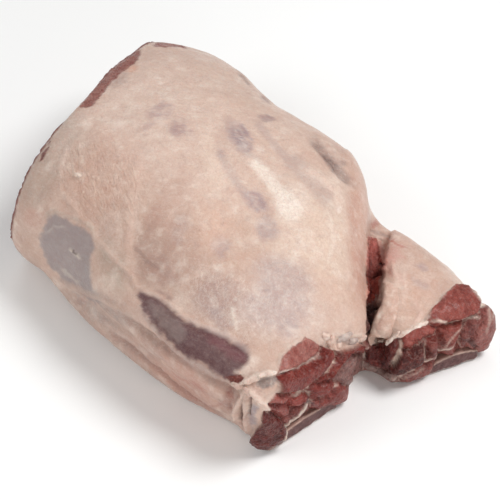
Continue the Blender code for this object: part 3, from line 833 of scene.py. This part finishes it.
def roughen(obj, coarse, fine, seeds):
    # coarse and fine: size of the unevenness and its height, mm
    co, normals = meshArrays(obj.data)
    lift = sum(unevenness(co, size, seed) * height for (size, height), seed in zip((coarse, fine), seeds))
    setPoints(obj.data, co + normals * (lift * mm)[:, None])


def paintPiece(obj, hexColour, seed):
    # the colour attributes that the skin's material reads
    co, _ = meshArrays(obj.data)
    tint = unevenness(co, 5, seed)
    colours = np.tile(np.array(rgb(hexColour)), (len(co), 1))
    colours = layOn(colours, "#eadccf", ramp(0.0, 0.7, tint) * 0.4)
    colours = layOn(colours, "#b78d80", ramp(0.0, 0.7, -tint) * 0.35)
    storeColour(obj.data, "paint", colours)
    plain = {"seam": 6.0, "silken": 0.3, "meat": 0, "thin": 0, "wet": 0, "streak": 0}
    for name, value in plain.items():
        storeValue(obj.data, name, np.full(len(co), value))


def makeSlotFold(tree, mat):
    eye = Vector(view["position"])
    rows = []
    for onLobe, edge in zip(pixels(slotFold["onLobe"]), pixels(slotFold["edge"])):
        root, normal, _, _ = tree.ray_cast(eye, rayThrough(*onLobe))
        ray = rayThrough(*edge)
        lip = eye + ray * ((root.z - 0.6 * mm - eye.z) / ray.z)
        inward = (root - lip).normalized()
        rows.append((root - normal * 1.2 * mm,
                     root.lerp(lip, 0.33) + Vector((0, 0, 0.5 * mm)),
                     root.lerp(lip, 0.7) + Vector((0, 0, 0.6 * mm)),
                     lip,
                     lip + Vector((0, 0, -0.35 * slotFold["hang"] * mm)) - inward * 0.6 * mm,
                     lip + Vector((0, 0, -slotFold["hang"] * mm)) + inward * 1.5 * mm))
    bm = bmesh.new()
    bmesh.ops.create_grid(bm, x_segments=len(rows[0]) - 1, y_segments=len(rows) - 1, size=1)
    for vert, place in zip(bm.verts, itertools.chain(*rows)):
        vert.co = place
    bmesh.ops.recalc_face_normals(bm, faces=bm.faces)
    obj = objectFrom(bm, "slotFat")
    thick = obj.modifiers.new("thickness", "SOLIDIFY")
    thick.thickness, thick.offset = slotFold["thickness"] * mm, 0
    fine = obj.modifiers.new("round", "SUBSURF")
    fine.levels = fine.render_levels = 3
    applyModifiers(obj)
    roughen(obj, (6, 0.6), (2.5, 0.2), (31, 32))
    paintPiece(obj, slotFold["colour"], 33)
    finishPiece(obj, mat)


def makeFatLumps(tree, mat):
    eye = Vector(view["position"])
    for number, (x, y, rx, ry, turn, thick, colour) in enumerate(fatLumps):
        place, normal, _, _ = tree.ray_cast(eye, rayThrough(x, y))
        c, s = math.cos(math.radians(turn)), math.sin(math.radians(turn))
        along = rightward * c - upward * s
        along = (along - normal * along.dot(normal)).normalized()
        across = normal.cross(along)
        bm = bmesh.new()
        bmesh.ops.create_icosphere(bm, subdivisions=4, radius=1)
        bmesh.ops.scale(bm, verts=bm.verts, vec=(rx * mm, ry * mm, thick * mm))
        turned = Matrix((along, across, normal)).transposed().to_4x4()
        bmesh.ops.transform(bm, verts=bm.verts, matrix=Matrix.Translation(place) @ turned)
        obj = objectFrom(bm, f"fatLump{number + 1:02d}")
        roughen(obj, (3.5, 0.7), (1.6, 0.25), (40 + number, 60 + number))
        paintPiece(obj, colour, 80 + number)
        finishPiece(obj, mat)


def addNode(tree, kind, settings=None, **links):
    # links: socket name (underscores for spaces) or i and its number = a value, a node or (node, output)
    node = tree.nodes.new(kind)
    for key, value in (settings or {}).items():
        setattr(node, key, value)
    for key, value in links.items():
        numbered = key[0] == "i" and key[1:].isdigit()
        socket = node.inputs[int(key[1:]) if numbered else key.replace("_", " ")]
        if isinstance(value, bpy.types.Node):
            value = (value, 0)
        if isinstance(value, tuple) and isinstance(value[0], bpy.types.Node):
            tree.links.new(value[0].outputs[value[1]], socket)
        else:
            socket.default_value = value
    return node


def newMaterial(name, surface, attributes):
    # a node material: its tree, its shader, Object coordinates and the attributes by name
    mat = bpy.data.materials.new(name)
    mat.use_nodes = True
    tree, shader = mat.node_tree, mat.node_tree.nodes["Principled BSDF"]
    for key, value in surface.items():
        shader.inputs[key].default_value = value
    read = {a: (addNode(tree, "ShaderNodeAttribute", {"attribute_name": a}), 0 if a == "paint" else 2)
            for a in attributes}
    return mat, tree, shader, (addNode(tree, "ShaderNodeTexCoord"), 3), read


mixColours, timesPlus = {"data_type": "RGBA"}, {"operation": "MULTIPLY_ADD"}
softly = {"interpolation_type": "SMOOTHSTEP"}
# Fell and fat over lamb meat, chilled and moist: milky, thin in places, with silky fibres, and
# dark red sawn muscle with white seams that shine a little.
skinSurface = {
    "IOR": 1.42, "Specular IOR Level": 0.28, "Coat Weight": 0.14, "Coat Roughness": 0.20,
    "Subsurface Weight": 0.10, "Subsurface Radius": (1.0, 0.45, 0.3), "Subsurface Scale": 0.003,
}
skinPatterns = {
    # size (mm), detail, roughness, stretch along and across, turn, distortion
    "clouds": (16, 5, 0.62, 1, 1, 0, 0), "cast": (9, 6, 0.7, 1, 1, 0, 0.6),
    "fibres": (2.4, 6, 0.72, 0.26, 1, 28, 0.4), "cross": (2.0, 6, 0.72, 0.30, 1, -52, 0.4),
    "mottle": (1.3, 4, 0.65, 1, 1, 0, 0), "wisps": (3.2, 7, 0.78, 0.35, 1, -25, 0.9),
    "lace": (2.2, 7, 0.8, 1, 0.4, 15, 0.9), "creases": (2.6, 6, 0.7, 0.2, 1, -25, 1.2),
    "network": (5.0, 7, 0.75, 1, 1, 0, 0.4), "specks": (0.9, 3, 0.6, 1, 1, 0, 0),
    "gauze": (1.6, 5, 0.75, 0.4, 1, 20, 0), "warm": (2.2, 5, 0.65, 1, 1, 0, 0),
    "marbling": (4.0, 6, 0.72, 1, 1, 0, 1.2), "seamWander": (3.0, 5, 0.7, 1, 1, 0, 0),
    "edgeWander": (2.2, 5, 0.7, 1, 1, 0, 0), "moisture": (3.5, 5, 0.7, 1, 1, 0, 0),
    "fellGrain": (3.2, 6, 0.65, 1, 1, 0, 0), "meatGrain": (2.0, 5, 0.7, 1, 1, 0, 0),
}
fellLayers = (
    # pattern, the part of its range that shows, amount, where, colour
    ("clouds", ((0.42, 0.68),), 0.16, ("pale",), "#eadace"),
    ("cast", ((0.50, 0.72),), 0.24, (), "#9c7f7a"),
    ("fibres", ((0.50, 0.70),), 0.24, ("pale",), "#e6d6ca"),
    ("cross", ((0.52, 0.70),), 0.22, (), "#a98276"),
    ("mottle", ((0.52, 0.72),), 0.22, (), "#9f7f75"),
    ("wisps", ((0.53, 0.57), (0.64, 0.60)), 0.26, ("silken", "pale"), "#f1e5da"),
    ("lace", ((0.53, 0.56), (0.62, 0.58)), 0.22, ("silken", "pale"), "#f3eae0"),
    # the creases: darker in their hollows and lighter on their crests, from the same noise as their bump:
    # painted shade and highlight
    ("creases", ((0.50, 0.38),), 0.32, ("streak",), "#b98d7b"),
    ("creases", ((0.56, 0.66),), 0.36, ("streak",), "#efdccb"),
    ("network", ((0.47, 0.50), (0.56, 0.52)), 0.24, ("pale",), "#bd907e"),
    ("specks", ((0.60, 0.70),), 0.16, ("pale",), "#f0e6dc"),
    ("gauze", ((0.50, 0.66),), 0.12, ("thin",), "#b3a09c"),
)
fleshLayers = (
    # bundles of fibre cut across, a warm cast, marbling, and white seams between the muscles
    ("bundles", ((0.25, 0.75),), 0.22, (), "#401b1a"),
    ("warm", ((0.50, 0.70),), 0.25, (), "#a8564a"),
    ("marbling", ((0.54, 0.565), (0.60, 0.575)), 0.20, (), "#cda79a"),
    ("roughSeam", ((0.55, 0.05),), 0.50, (), "#c9a99c"),
)


def layered(tree, under, layers, read):
    for name, windows, amount, masks, colour in layers:
        fac = amount
        parts = [addNode(tree, "ShaderNodeMapRange", softly, Value=read[name], From_Min=low, From_Max=high)
                 for low, high in windows] + [read[mask] for mask in masks]
        for part in parts:
            fac = addNode(tree, "ShaderNodeMath", timesPlus, i0=part, i1=fac, i2=0.0)
        under = (addNode(tree, "ShaderNodeMix", mixColours, i0=fac, i6=under, i7=(*rgb(colour), 1)), 2)
    return under


def lambSkin():
    mat, tree, skin, at, read = newMaterial(
        "raw lamb", skinSurface, ("paint", "meat", "seam", "thin", "wet", "streak", "silken"))
    for name, (size, detail, rough, long, wide, turn, distortion) in skinPatterns.items():
        # a texture mapping turns first and stretches after, so fibres run along the turned X axis
        where = addNode(tree, "ShaderNodeMapping", {"vector_type": "TEXTURE"}, Vector=at,
                        Rotation=(0, 0, math.radians(turn)), Scale=(1 / long, 1 / wide, 1))
        read[name] = addNode(tree, "ShaderNodeTexNoise", None, Vector=where, Scale=1 / (size * mm),
                             Detail=detail, Roughness=rough, Distortion=distortion)
    read["bundles"] = addNode(tree, "ShaderNodeTexVoronoi", {"feature": "F1"}, Vector=at,
                              Scale=1 / (1.5 * mm), Randomness=1.0)
    sums = (
        # name, then a * b + c
        ("pale", "thin", -0.85, 1.0),
        ("seamShift", "seamWander", 2.4, -1.2), ("roughSeam", "seam", 1.0, "seamShift"),
        ("edgeShift", "edgeWander", 0.7, -0.35), ("roughEdge", "meat", 1.0, "edgeShift"),
        ("silk", "fibres", 0.4, 0.0), ("silk", "cross", 0.25, "silk"),
        ("folds", "streak", "creases", 0.0), ("folds", "folds", 1.7, "silk"),
        ("outer", "fellGrain", 1.0, "folds"),
        ("inner", "bundles", -0.9, 0.0), ("inner", "meatGrain", 1.8, "inner"),
    )
    for name, *terms in sums:
        a, b, c = (read[term] if isinstance(term, str) else term for term in terms)
        read[name] = addNode(tree, "ShaderNodeMath", timesPlus, i0=a, i1=b, i2=c)
    fell = layered(tree, read["paint"], fellLayers, read)
    flesh = layered(tree, read["paint"], fleshLayers, read)
    edge = addNode(tree, "ShaderNodeMapRange", softly, Value=read["roughEdge"], From_Min=0.40, From_Max=0.56)
    whole = (addNode(tree, "ShaderNodeMix", mixColours, i0=edge, i6=fell, i7=flesh), 2)
    # meat and wet places shine more
    gloss = addNode(tree, "ShaderNodeMapRange", softly, Value=read["moisture"], From_Min=0.35,
                    From_Max=0.7, To_Min=0.36, To_Max=0.56)
    gloss = addNode(tree, "ShaderNodeMath", timesPlus, i0=edge, i1=-0.12, i2=gloss)
    gloss = addNode(tree, "ShaderNodeMath", timesPlus, i0=read["wet"], i1=-0.14, i2=gloss)
    height = addNode(tree, "ShaderNodeMix", {"data_type": "FLOAT"}, i0=edge, i2=read["outer"],
                     i3=read["inner"])
    bump = addNode(tree, "ShaderNodeBump", None, Strength=0.75, Distance=0.0011, Height=height)
    tree.links.new(whole[0].outputs[whole[1]], skin.inputs["Base Color"])
    tree.links.new(gloss.outputs[0], skin.inputs["Roughness"])
    tree.links.new(bump.outputs[0], skin.inputs["Normal"])
    return mat


bones = {
    "pieces": (("mainBone", "main_bone", "main"), ("lobeBone", "lobe_bone", "lobe")),
    "voxel": 0.9,           # mm
    "rimTop": 0.9,          # mm of hard bone above the marrow
    "rimBottom": 0.4,
    "slices": 29,           # steps along a bone in which its edges are found
    # mixes of two: name, what mixes them, from, to
    "colours": (
        ("marrow", "deep", "#321a1b", "#5c3836"), ("marrow", "mottled", "marrow", "#6d4b48"),
        ("hard", "patchy", "#cdb5a6", "#a98578"), ("inside", "rim", "marrow", "hard"),
        ("outside", "patchy", "#b99a8c", "#8f625a"), ("whole", "face", "outside", "inside"),
    ),
}


def sawnBone():
    # Sawn flat bone: cream cortical rim round purple-brown spongy marrow, matt and slightly waxy.
    surface = {"Roughness": 0.5, "IOR": 1.45}
    mat, tree, bone, at, read = newMaterial("sawn lamb bone", surface, ("rim", "face"))
    cells = addNode(tree, "ShaderNodeTexVoronoi", {"feature": "F1"}, Vector=at, Scale=1 / (1.3 * mm))
    patchy = addNode(tree, "ShaderNodeTexNoise", None, Vector=at, Scale=1 / (3 * mm), Detail=5.0,
                     Roughness=0.65)
    read["patchy"] = patchy
    read["deep"] = addNode(tree, "ShaderNodeMapRange", None, Value=cells, From_Min=0.1, From_Max=0.55)
    read["mottled"] = addNode(tree, "ShaderNodeMapRange", None, Value=patchy, From_Min=0.45, From_Max=0.65)
    for name, fac, *ends in bones["colours"]:
        a, b = ((*rgb(end), 1) if end[0] == "#" else read[end] for end in ends)
        read[name] = (addNode(tree, "ShaderNodeMix", mixColours, i0=read[fac], i6=a, i7=b), 2)
    bump = addNode(tree, "ShaderNodeBump", None, Strength=0.5, Distance=0.0006, Height=cells)
    tree.links.new(read["whole"][0].outputs[2], bone.inputs["Base Color"])
    tree.links.new(bump.outputs[0], bone.inputs["Normal"])
    return mat


def makeBones():
    mat = sawnBone()
    for name, node, plane in bones["pieces"]:
        obj = copyOfNode(node, name)
        remesh = obj.modifiers.new("fine", "REMESH")
        remesh.mode, remesh.voxel_size = "VOXEL", bones["voxel"] * mm
        smooth = obj.modifiers.new("smooth", "SMOOTH")
        smooth.factor, smooth.iterations = 0.5, 4
        applyModifiers(obj)
        co, normals = meshArrays(obj.data)
        out, _ = planeDepth(co, plane)
        # how far below the bone's top edge and above its lower one each point lies
        a, z = co @ np.cross(out, (0, 0, 1.0)), co[:, 2]
        cuts = np.linspace(a.min(), a.max(), bones["slices"] + 1)
        part = np.clip(np.searchsorted(cuts, a) - 1, 0, bones["slices"] - 1)
        zs = [z[part == i] if (part == i).any() else z for i in range(bones["slices"])]
        top, bottom = np.array([s.max() for s in zs]), np.array([s.min() for s in zs])
        uneven = unevenness(co, 5, 11)
        fromTop = (top[part] - z) / mm + uneven * 0.6
        fromBottom = (z - bottom[part]) / mm + uneven * 0.4
        rim = np.maximum(ramp(bones["rimTop"] + 0.5, bones["rimTop"] - 0.3, fromTop),
                         ramp(bones["rimBottom"] + 0.4, bones["rimBottom"] - 0.2, fromBottom) * 0.6)
        storeValue(obj.data, "rim", rim)
        storeValue(obj.data, "face", ramp(0.55, 0.8, normals @ out))
        setPoints(obj.data, co + normals * (uneven * 0.5 * mm)[:, None])
        finishPiece(obj, mat, node)


makeCamera()
makeStudio()
print("camera and studio")
lambLeg = makeLeg()
print("leg")
skinFaces = [p.vertices[:] for p in lambLeg.data.polygons]
legTree = BVHTree.FromPolygons([v.co for v in lambLeg.data.vertices], skinFaces)
makeSlotFold(legTree, lambLeg.data.materials[0])
makeFatLumps(legTree, lambLeg.data.materials[0])
print("folds and lumps of fat")
makeBones()
print("bones")
